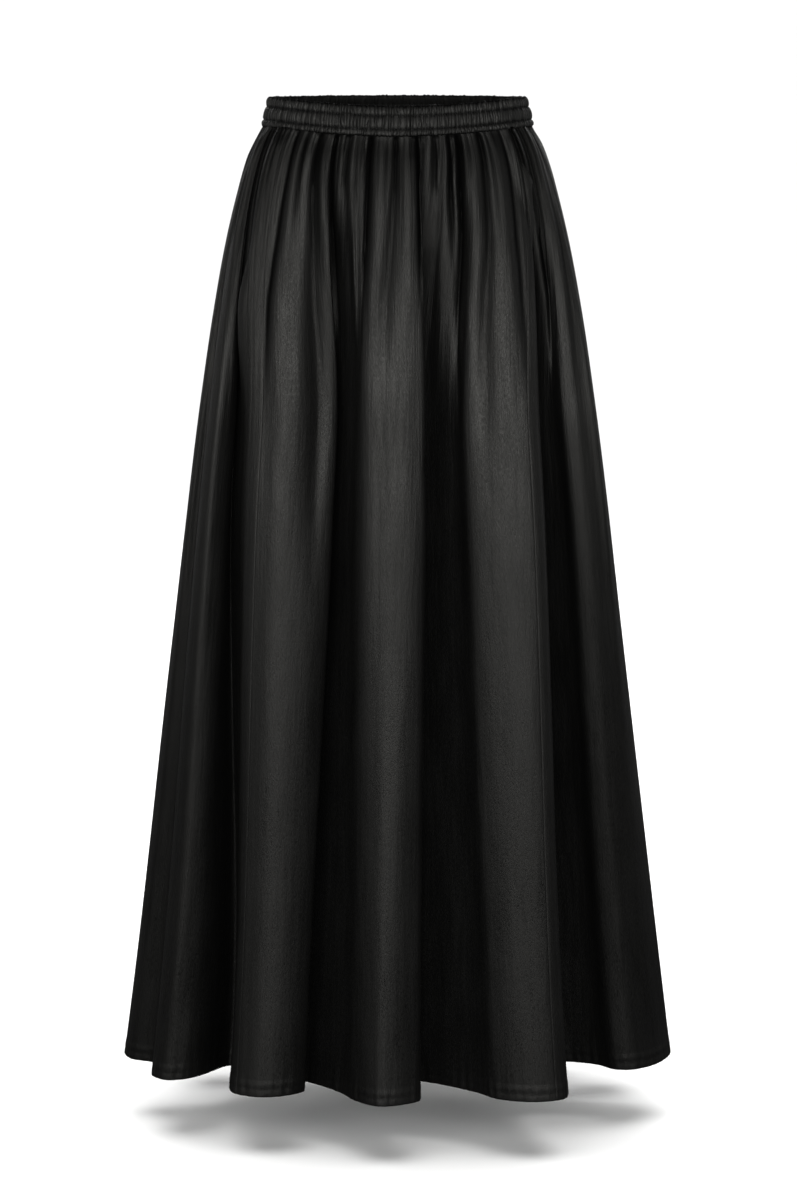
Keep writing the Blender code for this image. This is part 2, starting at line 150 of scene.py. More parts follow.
# A gather is a crease that runs down from the band. top, mid, knee and deep are its places from
# the middle front at GATHER_DROPS, low is where it dies out, and its half width changes on the
# way. Beside it, towards the middle front, the cloth stands out by step and slopes back over run.
Gather = namedtuple("Gather", "top mid knee deep low width width_low depth step run",
                    defaults=(0.0, 0.01))
GATHER_DROPS = (0.045, 0.100, 0.160, 0.260)
FRONT_GATHERS = (
    Gather(-0.1471, -0.1602, -0.1689, -0.1755, 0.192, 0.0014, 0.0030, 0.0030, 0.009, 0.014),
    Gather(-0.1346, -0.1429, -0.1494, -0.1525, 0.296, 0.0018, 0.0040, 0.0060, 0.018, 0.030),
    Gather(-0.1269, -0.1324, -0.1385, -0.1423, 0.082, 0.0012, 0.0016, 0.0024),
    Gather(-0.1073, -0.1166, -0.1249, -0.1286, 0.283, 0.0018, 0.0034, 0.0080, 0.006, 0.020),
    Gather(-0.0977, -0.1024, -0.1074, -0.1112, 0.135, 0.0012, 0.0020, 0.0032),
    Gather(-0.0813, -0.0813, -0.0803, -0.0758, 0.500, 0.0028, 0.0180, 0.0105),
    Gather(-0.0620, -0.0621, -0.0593, -0.0501, 0.236, 0.0020, 0.0080, 0.0110),
    Gather(-0.0515, -0.0534, -0.0535, -0.0537, 0.079, 0.0018, 0.0030, 0.0060),
    Gather(-0.0285, -0.0313, -0.0351, -0.0380, 0.231, 0.0026, 0.0060, 0.0110),
    Gather(-0.0035, -0.0065, -0.0120, -0.0129, 0.287, 0.0022, 0.0160, 0.0090),
    Gather(0.0217, 0.0226, 0.0236, 0.0236, 0.183, 0.0016, 0.0030, 0.0080),
    Gather(0.0374, 0.0438, 0.0508, 0.0555, 0.086, 0.0014, 0.0024, 0.0035),
    Gather(0.0497, 0.0525, 0.0536, 0.0555, 0.158, 0.0016, 0.0050, 0.0085),
    Gather(0.0611, 0.0611, 0.0583, 0.0574, 0.331, 0.0020, 0.0130, 0.0150),
    Gather(0.0862, 0.0890, 0.0851, 0.0841, 0.386, 0.0028, 0.0110, 0.0085),
    Gather(0.1084, 0.1149, 0.1200, 0.1274, 0.253, 0.0022, 0.0034, 0.0080, 0.004, 0.016),
    Gather(0.1308, 0.1384, 0.1448, 0.1499, 0.261, 0.0020, 0.0040, 0.0065, 0.016, 0.026),
    Gather(0.1442, 0.1573, 0.1670, 0.1766, 0.259, 0.0016, 0.0030, 0.0035, 0.008, 0.016),
)
# A hollow is soft and starts lower down; with a depth below zero it is a crown instead.
Hollow = namedtuple("Hollow", "across high across_low low width depth")
FRONT_HOLLOWS = (
    Hollow(-0.0455, 0.045, -0.0410, 0.200, 0.0035, -0.0065),
    Hollow(0.0265, 0.110, 0.0280, 0.330, 0.0068, 0.0070),
    Hollow(0.0420, 0.090, 0.0400, 0.250, 0.0060, -0.0025),
)
STEP_EDGE = 0.0030  # how wide the edge is where a step drops into its crease
GATHER_START = 0.60  # share of a gather's depth that it has at the band
GATHER_FULL_DROP = 0.014
GATHER_HOLD = 0.40  # share of its length before it starts to die out
CREASE_POWER = 1.25  # a gather's sides meet in a crease
SHADE_SHARE = 0.5  # how much of a crease's steepness shows as painted shade
# how far beside a gather's crease its painted shade spreads
SHADE_WIDTH = 0.0024
FACING = 0.0015  # how near a place on the front its foremost line of cloth is

# Gathers that are drawn by chance stray evenly from drop to drop. Those of the hidden back:
EVEN_DRIFT = np.arange(len(GATHER_DROPS)) / (len(GATHER_DROPS) - 1)
BACK_GATHER_SEED = 11
BACK_GATHERS = 30
BACK_GATHER_JITTER = 0.3
BACK_GATHER_LOW = (0.04, 0.27)
BACK_GATHER_WIDTH = (0.0018, 0.0034)
BACK_GATHER_DEPTH = (0.0030, 0.0085)
BACK_GATHER_STEP = (0.0, 0.006)
BACK_GATHER_RUN = 0.02
BACK_GATHER_DRIFT = 0.005

# Fine gathers between them, all round
FINE_SEED = 21
FINE_GATHERS = 200
FINE_LOW = (0.04, 0.26)
FINE_WIDTH = (0.0008, 0.0018)
FINE_SPREAD = 1.7  # how much wider one is where it dies out
FINE_DEPTH = (0.0005, 0.0020)
FINE_DRIFT = 0.0015

# Tiny puckers where the cloth is sewn to the band, all round
PUCKER_SEED = 5
PUCKER_PITCH = 0.0050
PUCKER_JITTER = 0.35  # of the pitch
PUCKER_WIDTH = (0.0009, 0.0016)
PUCKER_DEPTH = 0.0036
PUCKER_DEPTHS = (0.5, 1.2)  # of that depth
PUCKER_LENGTH = (0.016, 0.080)
PUCKER_DRIFT = 0.003
SEAM_SUNK = 0.0010  # how deep the creases go where they are sewn to the band
SEAM_SLOPE = 1.8  # and how much deeper for each metre below it

# Long shallow unevenness of the hanging cloth, by how many waves go all round
RIPPLE_SEED = 3
RIPPLE_WAVES = (37, 53, 71, 97, 131)
RIPPLE_DEPTH = 0.018  # of one wave all round
RIPPLE_DROP = 0.2  # where the ripples have formed

# A gore starts at a seam, which follows one line of the cloth. Its flat size is what a maker
# cuts: the gathered upper edge, the hem, and the length with the hem's turning.
Gore = namedtuple("Gore", "name fold line top_width hem_width")
GORES = (
    Gore("front_right", "front_right", RIGHT_SHOULDER, 0.160, 0.360),
    Gore("back_right", "right_side", PEAK, 0.190, 0.460),
    Gore("back_centre", "back_right", PEAK, 0.205, 0.490),
    Gore("back_left", "back_left", PEAK, 0.195, 0.490),
    Gore("front_left", "left_side", PEAK, 0.120, 0.335),
    Gore("front_centre", "front_left", LEFT_SHOULDER, 0.335, 0.560),
)
GORE_LENGTH = 0.975


def smooth_step(value):
    """0 below 0, 1 above 1, with an even start and end."""
    value = np.clip(value, 0.0, 1.0)
    return value * value * (3.0 - 2.0 * value)


def smooth_curve(knots, values, at):
    """A smooth curve through a row of values, read at some places between their knots."""
    knots, values = np.asarray(knots), np.asarray(values)
    slopes = np.gradient(values, knots)
    row = np.clip(np.searchsorted(knots, at) - 1, 0, len(knots) - 2)
    step = knots[row + 1] - knots[row]
    t = (at - knots[row]) / step
    return ((1 + 2 * t) * (1 - t) ** 2 * values[row] + t * (1 - t) ** 2 * step * slopes[row]
            + t * t * (3 - 2 * t) * values[row + 1] + t * t * (t - 1) * step * slopes[row + 1])


def waist_lift(turn):
    """How far the band is lifted at some angles from the middle front, in radians."""
    angles, heights = zip(*WAIST_LINE)
    return smooth_curve(angles, heights, np.abs(np.degrees(turn)))


def outline_at(drop):
    """Half width, front reach and back reach of the cloth at a drop."""
    drops = [row.drop for row in OUTLINE]
    return [smooth_curve(drops, [getattr(row, name) for row in OUTLINE], drop)
            for name in ("side", "front", "back")]


def back_fold(row):
    """A plain fold of the hidden back, with the same corners as a front one."""
    steps = np.array((-FOOT_SHARE, -SHOULDER_SHARE, 0, SHOULDER_SHARE, FOOT_SHARE)) * row.width
    shoulder = row.reach * SHOULDER_REACH
    reach = np.array((row.floor, shoulder, row.reach, shoulder, row.floor))
    places = []
    for drop, angle, depth in ((KNEE_DROP, row.knee, KNEE_SHARE), (HEM_DROP, row.hem, 1.0)):
        side, _, back = outline_at(drop)
        turn, share = np.radians(angle + steps), 1 - (1 - reach) * depth
        places.append(np.column_stack((side * share * np.sin(turn), back * share * np.cos(turn))))
    return Fold(row.name, BACK_LATE, row.waist + steps, *places)


def all_folds():
    """Every fold from the middle front round by the right, the back and the left."""
    right, left = FRONT_FOLDS[:4], FRONT_FOLDS[4:]
    turned = [fold._replace(waist=np.add(fold.waist, 360)) for fold in left]
    return list(right) + [back_fold(row) for row in BACK_FOLDS] + turned


def soften(loop):
    """Round the corners of a closed loop of evenly spaced places."""
    count = len(loop)
    away = np.minimum(np.arange(count), count - np.arange(count)) / count
    kernel = np.exp(-0.5 * (away / FOLD_SOFTNESS) ** 2)
    spectrum = np.fft.rfft(kernel / kernel.sum())
    return np.fft.irfft(np.fft.rfft(loop, axis=0) * spectrum[:, None], n=count, axis=0)


def fold_corners(folds, level, drop):
    """The folds' corners at one level, right and forward, as shares of the outline there."""
    places = np.vstack([getattr(fold, level) for fold in folds])
    side, front, back = outline_at(drop)
    return places / np.column_stack((np.full(len(places), side),
                                     np.where(places[:, 1] > 0, front, back)))


def corner_shares(folds):
    """How far round the hem each fold corner lies, from 0 to 1."""
    places = np.vstack([fold.hem for fold in folds])
    steps = np.linalg.norm(np.roll(places, -1, axis=0) - places, axis=1)
    return np.concatenate(([0.0], np.cumsum(steps))) / steps.sum()


def closed_curve(shares, corners):
    """A closed smooth curve through corners, at FINE_COLUMNS places round the cloth."""
    knots = np.concatenate((shares[-3:-1] - 1, shares, shares[1:3] + 1))
    around = np.vstack((corners[-2:], corners, corners[:3]))
    cloth = np.arange(FINE_COLUMNS) / FINE_COLUMNS
    return np.column_stack([smooth_curve(knots, around[:, axis], cloth) for axis in (0, 1)])


def wrapped(share):
    """The same step round the cloth, from -0.5 to 0.5."""
    return (share + 0.5) % 1.0 - 0.5


def path_share(path, drop):
    """The share of the cloth that a gather's path crosses at a drop."""
    return path[0] + np.interp(drop, GATHER_DROPS, [wrapped(share - path[0]) for share in path])


class Cloth:
    """The gathered and folded cloth, as a place for each line of it at each drop."""

    def __init__(self):
        self.folds = all_folds()
        self.shares = corner_shares(self.folds)
        self.loops = {level: soften(closed_curve(self.shares, fold_corners(self.folds, level, drop)))
                      for level, drop in (("knee", KNEE_DROP), ("hem", HEM_DROP))}
        self.loops["waist"] = self.waist_loop()
        self.late = self.valley_delays()
        hem = self.smooth_section(HEM_DROP)
        self.hem_round = np.linalg.norm(np.roll(hem, -1, axis=0) - hem, axis=1).sum()
        self.gathers = self.front_gathers() + self.back_gathers() + self.fine_gathers()
        self.hollows = [(self.front_line(row.across, row.high),
                         self.front_line(row.across_low, row.low), row) for row in FRONT_HOLLOWS]
        self.puckers = self.seam_puckers()

    def waist_loop(self):
        """The waist's ring, with each fold's cloth at its own angle."""
        angles = np.radians(np.concatenate([fold.waist for fold in self.folds]))
        cloth = np.arange(FINE_COLUMNS) / FINE_COLUMNS
        turn = np.interp(cloth, self.shares, np.append(angles, angles[0] + 2 * math.pi))
        ring = soften(np.column_stack((np.sin(turn), np.cos(turn))))
        return ring / np.linalg.norm(ring, axis=1)[:, None]

    def valley_delays(self):
        """How late the cloth folds, for every fine column."""
        valleys = [(self.shares[CORNERS * i + RIGHT_FOOT] + self.shares[CORNERS * (i + 1)]) / 2
                   for i in range(len(self.folds))]
        cloth = np.arange(FINE_COLUMNS) / FINE_COLUMNS
        return np.interp(cloth, valleys, [fold.late for fold in self.folds], period=1.0)

    def smooth_section(self, drop):
        """The section without its gathers: X and Y of every fine column."""
        drop = max(drop, 0.0)
        formed = (math.sin(math.pi / 2 * min(drop / KNEE_DROP, 1)) ** self.late)[:, None]
        fallen = smooth_step((drop - KNEE_DROP / 2) / (HEM_DROP - KNEE_DROP / 2))
        folded = (1 - fallen) * self.loops["knee"] + fallen * self.loops["hem"]
        shape = (1 - formed) * self.loops["waist"] + formed * folded
        side, front, back = outline_at(drop)
        widest = np.where(shape[:, 0] > 0, shape[:, 0].max(), -shape[:, 0].min())
        reach = np.where(shape[:, 1] > 0, front, back)
        return np.column_stack((side * shape[:, 0] / widest, -reach * shape[:, 1]))

    def front_line(self, across, drop):
        """The share of the cloth that is foremost at `across` on the front at a drop."""
        section = self.smooth_section(drop)
        near = np.abs(section[:, 0] - across) < FACING
        return int(np.argmin(np.where(near, section[:, 1], 1.0))) / FINE_COLUMNS

    def front_gathers(self):
        """The gathers of the front, whose places are known."""
        return [([self.front_line(across, drop) for across, drop in zip(row, GATHER_DROPS)], row)
                for row in FRONT_GATHERS]

    def fine_gathers(self):
        """Slight uneven gathers all round."""
        chance = np.random.default_rng(FINE_SEED)
        found = []
        for number in range(FINE_GATHERS):
            share = (number + chance.random()) / FINE_GATHERS
            width = chance.uniform(*FINE_WIDTH)
            row = Gather(0, 0, 0, 0, chance.uniform(*FINE_LOW), width, FINE_SPREAD * width,
                         chance.uniform(*FINE_DEPTH))
            found.append((share + chance.uniform(-FINE_DRIFT, FINE_DRIFT) * EVEN_DRIFT, row))
        return found

    def back_gathers(self):
        """Uneven gathers round the hidden back, between the side seams."""
        first, last = self.line_share("right_side", PEAK), self.line_share("left_side", PEAK)
        chance = np.random.default_rng(BACK_GATHER_SEED)
        found = []
        for number in range(BACK_GATHERS):
            step = number + 0.5 + chance.uniform(-BACK_GATHER_JITTER, BACK_GATHER_JITTER)
            share = first + (last - first) * step / BACK_GATHERS
            low = chance.uniform(*BACK_GATHER_LOW)
            width = chance.uniform(*BACK_GATHER_WIDTH)
            # the longer it is, the wider and the deeper
            row = Gather(0, 0, 0, 0, low, width, width * (1.2 + 6 * low),
                         chance.uniform(*BACK_GATHER_DEPTH) * (0.5 + 2 * low),
                         chance.uniform(*BACK_GATHER_STEP), BACK_GATHER_RUN)
            drift = chance.uniform(-BACK_GATHER_DRIFT, BACK_GATHER_DRIFT)
            found.append((share + drift * EVEN_DRIFT, row))
        return found

    def seam_puckers(self):
        """Places, half widths, lengths, depths and drifts of the puckers under the band."""
        waist = self.smooth_section(0.0)
        pace = np.linalg.norm(np.roll(waist, -1, axis=0) - waist, axis=1)
        walked = np.concatenate(([0.0], np.cumsum(pace)))
        count = int(walked[-1] / PUCKER_PITCH)
        chance = np.random.default_rng(PUCKER_SEED)
        at = (np.arange(count) + chance.uniform(-PUCKER_JITTER, PUCKER_JITTER, count)) * PUCKER_PITCH
        shares = np.interp(at, walked, np.arange(FINE_COLUMNS + 1) / FINE_COLUMNS)
        shortest, longest = PUCKER_LENGTH
        length = shortest + (longest - shortest) * chance.random(count) ** 1.5  # mostly short
        return np.column_stack((shares, chance.uniform(*PUCKER_WIDTH, count), length,
                                PUCKER_DEPTH * chance.uniform(*PUCKER_DEPTHS, count),
                                chance.uniform(-PUCKER_DRIFT, PUCKER_DRIFT, count)))

    def line_share(self, fold_name, line):
        """The share of the cloth at one corner line of a fold."""
        names = [fold.name for fold in self.folds]
        return self.shares[CORNERS * names.index(fold_name) + line]

    @functools.cache
    def section(self, drop):
        """The gathered section, its outward directions and its painted crease shade, at every fine column.
        """
        smooth = self.smooth_section(drop)
        along = (np.roll(smooth, -1, axis=0) - np.roll(smooth, 1, axis=0)) / 2
        pace = np.linalg.norm(along, axis=1)
        outward = np.column_stack((along[:, 1], -along[:, 0])) / pace[:, None]
        cloth = np.arange(FINE_COLUMNS) / FINE_COLUMNS
        # Besides how far the cloth sinks, painted shade is summed beside the steep creases; the satin
        # darkens it with black, dull cloth.
        sunk, painted_shade = self.ripples(cloth, drop), np.zeros(FINE_COLUMNS)
        walked = np.concatenate(([0.0], np.cumsum((pace + np.roll(pace, -1)) / 2)))

        def away(share):
            """Metres of cloth from a line of it, along the section."""
            at = np.interp(share % 1.0, np.arange(FINE_COLUMNS + 1) / FINE_COLUMNS, walked)
            return (walked[:-1] - at + walked[-1] / 2) % walked[-1] - walked[-1] / 2

        def crease(depth, width, beside):
            """How much painted shade the cloth gets beside a crease, which is more the steeper the crease
            is.
            """
            return min(1, SHADE_SHARE * depth / width) * np.exp(-beside ** 2)

        rise = GATHER_START + (1 - GATHER_START) * smooth_step(drop / GATHER_FULL_DROP)
        for path, row in self.gathers:
            if drop < row.low:
                gone = max(drop, 0.0) / row.low
                fade = 1 - smooth_step((gone - GATHER_HOLD) / (1 - GATHER_HOLD))
                width = row.width + (row.width_low - row.width) * gone
                metres = away(path_share(path, drop))
                beside = np.abs(metres) / width
                depth = row.depth * rise * fade
                sunk += depth * np.exp(-beside ** CREASE_POWER)
                if row.step:
                    inward = -metres * np.sign(wrapped(path[0]))
                    slope = np.clip(1 - inward / row.run, 0, 1) * smooth_step(inward / STEP_EDGE + 0.5)
                    sunk -= row.step * rise * fade * slope
                painted_shade = np.maximum(painted_shade, crease(depth, width, metres / SHADE_WIDTH))
        for top, low, row in self.hollows:
            if row.high < drop < row.low:
                gone = (drop - row.high) / (row.low - row.high)
                beside = away(top + wrapped(low - top) * gone) / row.width
                sunk += row.depth * math.sin(math.pi * gone) ** 0.8 * np.exp(-beside ** 2)
        for share, width, length, depth, drift in self.puckers:
            if drop < length:
                gone = max(drop, 0.0) / length
                beside = np.abs(away(share) - drift * gone) / (width * (1 + gone))
                depth *= 1 - smooth_step(gone)
                sunk += depth * np.exp(-beside ** CREASE_POWER)
                painted_shade = np.maximum(painted_shade, crease(depth, width, 2 * beside))
        sunk = np.minimum(sunk, SEAM_SUNK + SEAM_SLOPE * max(drop, 0.0))
        for _ in range(2):
            sunk = (np.roll(sunk, 1) + 2 * sunk + np.roll(sunk, -1)) / 4
        # where the cloth faces forwards its creases sink straight back, and elsewhere square to it
        across = 1 - smooth_step(-2 * outward[:, 1])
        pulled = outward * np.column_stack((across, np.ones(FINE_COLUMNS)))
        gathered = smooth - pulled / np.linalg.norm(pulled, axis=1)[:, None] * sunk[:, None]
        along = np.roll(gathered, -1, axis=0) - np.roll(gathered, 1, axis=0)
        outward = np.column_stack((along[:, 1], -along[:, 0]))
        return gathered, outward / np.linalg.norm(outward, axis=1)[:, None], painted_shade

    def ripples(self, cloth, drop):
        """Shallow waves that come and go, and wander a little, on the way down."""
        chance = np.random.default_rng(RIPPLE_SEED)
        total = np.zeros(len(cloth))
        for waves in RIPPLE_WAVES:
            turn, lean, sway = chance.uniform(0, 2 * math.pi, 3)
            beat = 0.5 + 0.5 * math.sin(turn + drop * (9 + waves / 12))
            wander = 0.8 * math.sin(lean + 7 * drop)
            total += beat * np.sin(2 * math.pi * waves * cloth + sway + wander) / waves
        return RIPPLE_DEPTH * total * smooth_step(drop / RIPPLE_DROP)

    def heights(self, drop):
        """Z of every fine column: the upper edge follows the band, the hem is level."""
        right, forward = self.loops["waist"].T
        return GORE_TOP - drop + waist_lift(np.arctan2(right, forward)) * (1 - drop / HEM_DROP)

    def place(self, shares, drop):
        """Places on the cloth's outer face, outward directions and painted crease shade at some shares."""
        section, outward, painted_shade = self.section(drop)
        cloth = np.arange(FINE_COLUMNS) / FINE_COLUMNS
        columns = (*section.T, self.heights(drop), *outward.T, painted_shade)
        x, y, z, out_x, out_y, painted_shade = [np.interp(shares, cloth, values, period=1.0)
                                         for values in columns]
        return np.column_stack((x, y, z)), np.column_stack((out_x, out_y, 0 * out_x)), painted_shade


# ---- meshes

SHARP_EDGE = 60  # degrees, past which an edge isn't shaded as rounded


def add_object(name, data):
    """A new object in the scene."""
    thing = bpy.data.objects.new(name, data)
    bpy.context.scene.collection.objects.link(thing)
    return thing


def grid_faces(grid, closed=False):
    """Four-cornered faces over a grid of vertex numbers."""
    right = np.roll(grid, -1, axis=1) if closed else grid[:, 1:]
    left = grid if closed else grid[:, :-1]
    return np.stack((left[:-1], left[1:], right[1:], right[:-1]), axis=-1).reshape(-1, 4)


def mesh_piece(name, places, faces, materials, cloth_uv=None, painted_shade=None, wrong_side=None):
    """A smooth mesh object from arrays of places and four-cornered faces.

    The faces numbered from the first to the second of wrong_side get the second material.
    """
    mesh = bpy.data.meshes.new(name)
    mesh.vertices.add(len(places))
    mesh.vertices.foreach_set("co", np.asarray(places, np.float32).ravel())
    mesh.loops.add(faces.size)
    mesh.loops.foreach_set("vertex_index", faces.ravel().astype(np.int32))
    mesh.polygons.add(len(faces))
    mesh.polygons.foreach_set("loop_start", np.arange(0, faces.size, 4, dtype=np.int32))
    mesh.polygons.foreach_set("loop_total", np.full(len(faces), 4, dtype=np.int32))
    if cloth_uv is not None:
        layer = mesh.uv_layers.new(name="cloth")
        layer.data.foreach_set("uv", np.asarray(cloth_uv, np.float32)[faces.ravel()].ravel())
    # painted crease shade, kept on the mesh for the satin to darken its creases
    if painted_shade is not None:
        layer = mesh.attributes.new("painted_shade", "FLOAT", "POINT")
        layer.data.foreach_set("value", np.asarray(painted_shade, np.float32))
    mesh.update(calc_edges=True)
    mesh.validate()
    mesh.shade_smooth()
    mesh.set_sharp_from_angle(angle=math.radians(SHARP_EDGE))
    for material in materials:
        mesh.materials.append(material)
    if wrong_side:
        chosen = np.zeros(len(faces), np.int32)
        chosen[slice(*wrong_side)] = 1
        mesh.polygons.foreach_set("material_index", chosen)
    return add_object(name, mesh)


def shell(outer, inner):
    """Places and outward faces of a closed wall between an outer and an inner grid."""
    rows, columns = outer.shape[:2]
    out = np.arange(rows * columns).reshape(rows, columns)
    inn = out + rows * columns
    faces = [grid_faces(out), grid_faces(inn)[:, ::-1],
             grid_faces(np.stack((inn[0], out[0]))), grid_faces(np.stack((out[-1], inn[-1]))),
             grid_faces(np.stack((inn[:, 0], out[:, 0]), axis=1)),
             grid_faces(np.stack((out[:, -1], inn[:, -1]), axis=1))]
    return np.vstack((outer.reshape(-1, 3), inner.reshape(-1, 3))), np.vstack(faces)


HEM_EDGE = 0.0016  # height over which the hem's edge is rounded
HEM_EDGE_OUTSIDE = 0.0008  # how far the rounding takes the outer face in
HEM_EDGE_WALL = 0.0010  # and how much of the wall it takes away
HEM_SWELL = 0.00025  # how far the doubled cloth stands out
HEM_STEP = 0.001  # height over which the cloth becomes doubled
TUCK_IN = 0.0016  # how far behind the band's face the gathered edge goes

# Rows of cloth from one drop to the next, closest near the band and the hem
RowSpan = namedtuple("RowSpan", "first last rows")
ROW_SPANS = (
    RowSpan(-TUCK, 0.020, 15),
    RowSpan(0.020, 0.120, 25),
    RowSpan(0.120, 0.400, 38),
    RowSpan(0.400, HEM_DROP - 0.030, 38),
    RowSpan(HEM_DROP - 0.030, HEM_DROP - HEM_EDGE, 14),
)
EDGE_ROWS = np.array((HEM_EDGE, 0.0010, 0.0005, 0.0002, 0.0))  # above the hem
ROW_DROPS = np.concatenate([np.linspace(*row, endpoint=False) for row in ROW_SPANS]
                           + [HEM_DROP - EDGE_ROWS])
SEAM_STEPS = np.array((0.0, 0.0004, 0.0009, 0.0016, 0.0026, 0.0040))  # columns near a seam
SEAM_DIP, SEAM_DIP_WIDTH = 0.0003, 0.0007
STITCH_DIP, STITCH_DIP_WIDTH = 0.00035, 0.0011

# Small puckers along the hem's stitches: waves all round, their strength and their start
HemWave = namedtuple("HemWave", "waves strength start")
HEM_WAVES = (HemWave(263, 1.0, 0.0), HemWave(331, 0.8, 2.0), HemWave(197, 0.7, 4.0))
HEM_WAVE_DEPTH = 0.00030
HEM_WAVE_FADE = 0.010  # height over which they die out


def gore_shares(cloth, start, end):
    """Where a gore's columns lie, closer together beside its seams."""
    near = SEAM_STEPS / cloth.hem_round
    count = max(8, int((end - start) * CLOTH_COLUMNS))
    middle = np.linspace(start + near[-1], end - near[-1], count)[1:-1]
    return np.concatenate((start + near, middle, end - near[::-1]))


def hem_puckers(shares, drop):
    """Small waves along the hem's stitches, which die out above them."""
    depth = HEM_WAVE_DEPTH * np.exp(-abs(HEM_DROP - drop - HEM_STITCH) / HEM_WAVE_FADE)
    return depth * sum(row.strength * np.sin(2 * math.pi * row.waves * shares + row.start)
                       for row in HEM_WAVES)


def gore_grids(cloth, start, end):
    """The outer and the inner grid of one gore, its cloth coordinates and its painted crease shade."""
    shares = gore_shares(cloth, start, end)
    beside = np.minimum(shares - start, end - shares)
    outer, inner, creases = [], [], []
    for drop in ROW_DROPS:
        ring, outward, painted_shade = cloth.place(shares, drop)
        creases.append(painted_shade)
        above = HEM_DROP - drop
        hem = smooth_step((HEM_FOLD + HEM_STEP - above) / HEM_STEP)
        rounded = 1 - math.sqrt(1 - np.clip(1 - above / HEM_EDGE, 0, 1) ** 2)
        sunk = (SEAM_DIP * np.exp(-(beside * cloth.hem_round / SEAM_DIP_WIDTH) ** 2)
                + STITCH_DIP * np.exp(-((above - HEM_STITCH) / STITCH_DIP_WIDTH) ** 2)
                - HEM_SWELL * hem + HEM_EDGE_OUTSIDE * rounded
                + hem_puckers(shares, drop) + TUCK_IN * smooth_step(-drop / TUCK))
        face = ring - outward * sunk[:, None]
        wall = CLOTH_WALL + (HEM_WALL - CLOTH_WALL) * hem - HEM_EDGE_WALL * rounded
        outer.append(face)
        inner.append(face - outward * wall)
    down, around = np.meshgrid(ROW_DROPS, shares * cloth.hem_round, indexing="ij")
    flat = np.column_stack((around.ravel(), -down.ravel()))
    return np.array(outer), np.array(inner), np.vstack((flat, flat)), np.tile(np.ravel(creases), 2)


def seam_ranges(cloth):
    """Where each gore starts and ends, as shares of the way round that only grow."""
    starts = [cloth.line_share(gore.fold, gore.line) for gore in GORES]
    ends = starts[1:] + [starts[0] + 1.0]
    return [(start, end if end > start else end + 1.0) for start, end in zip(starts, ends)]


# ---- the ruched waistband

BAND_COLUMNS = 2200
TURN_STEPS = 7201  # places at which the way round the ring is measured
TIER_LINES = (0.0052, -0.0074)  # heights of the two stitch rows
TIER_ROWS = (8, 10, 7)  # rows of faces in each tier
TIER_PUFF = 0.0007
TIER_POWER = 0.6  # below 1, a tier or a pucker is blunt
RUCHE_SEED = 8
RUCHE_PITCH = 0.0027  # from one pucker to the next
RUCHE_STEPS = (0.45, 1.55)  # of that pitch
RUCHE_DEPTH = 0.0017
RUCHE_DEPTHS = (0.2, 1.2)  # of that depth
RUCHE_WANDER = 0.0008  # how far a crease strays between the stitch rows
RUCHE_POWER = 0.6
STITCHED_SHARE = 0.4  # of a pucker's depth that is left at a stitch row
INSIDE_SHARE = 0.7  # how deep the inner face's ruching is, beside the outer's
INNER_ROWS = 11
RIM_LOW, RIM_HIGH = 0.010, 0.014  # heights between which the rim's unevenness sets in

# How the rims are rolled over: shares of the way from the inner to the outer face
Roll = namedtuple("Roll", "share bulge")
ROLLS = (Roll(0.8, 0.0004), Roll(0.5, 0.0006), Roll(0.2, 0.0004))


class Ruching:
    """Upright puckers whose creases run from stitch row to stitch row."""

    def __init__(self, length, lines, chance):
        steps = chance.uniform(*RUCHE_STEPS, int(length / RUCHE_PITCH))
        base = np.cumsum(steps) / steps.sum() * length
        self.length, self.lines = length, np.array(lines)
        self.creases = [np.sort(base + chance.normal(0, RUCHE_WANDER, len(base))) for _ in lines]
        self.height = RUCHE_DEPTH * chance.uniform(*RUCHE_DEPTHS, (len(lines) - 1, len(base)))

    def tier(self, up):
        """The number of the tier at a height, and how far down the tier the height is."""
        row = int(np.clip(np.searchsorted(-self.lines, -up) - 1, 0, len(self.lines) - 2))
        return row, (up - self.lines[row]) / (self.lines[row + 1] - self.lines[row])

    def at(self, up, around):
        """How far the puckers stand out at a height, for places round the band."""
        row, share = self.tier(up)
        creases = self.creases[row] + (self.creases[row + 1] - self.creases[row]) * share
        widened = np.concatenate((creases[-2:] - self.length, creases, creases[:2] + self.length))
        number = np.searchsorted(widened, around)
        low, high = widened[number - 1], widened[number]
        phase = np.clip((around - low) / np.maximum(high - low, 1e-6), 0, 1)
        height = self.height[row][(number - 2) % len(creases)] * np.minimum(1, (high - low) / RUCHE_PITCH)
        return height * np.sin(math.pi * phase) ** RUCHE_POWER


def band_ring():
    """Places round the band at even steps, their outward directions and their lift."""
    def ring_at(turn):
        return np.column_stack((BAND_HALF_WIDTH * np.sin(turn), -BAND_HALF_DEPTH * np.cos(turn)))

    turn = np.linspace(0, 2 * math.pi, TURN_STEPS)
    ring = ring_at(turn)
    walked = np.concatenate(([0.0], np.cumsum(np.linalg.norm(np.diff(ring, axis=0), axis=1))))
    around = np.arange(BAND_COLUMNS) / BAND_COLUMNS * walked[-1]
    turn = np.interp(around, walked, turn)
    right, forward = np.sin(turn), np.cos(turn)
    out = np.column_stack((right / BAND_HALF_WIDTH, -forward / BAND_HALF_DEPTH))
    out /= np.linalg.norm(out, axis=1)[:, None]
    return around, walked[-1], ring_at(turn), out, waist_lift(np.arctan2(right, forward))


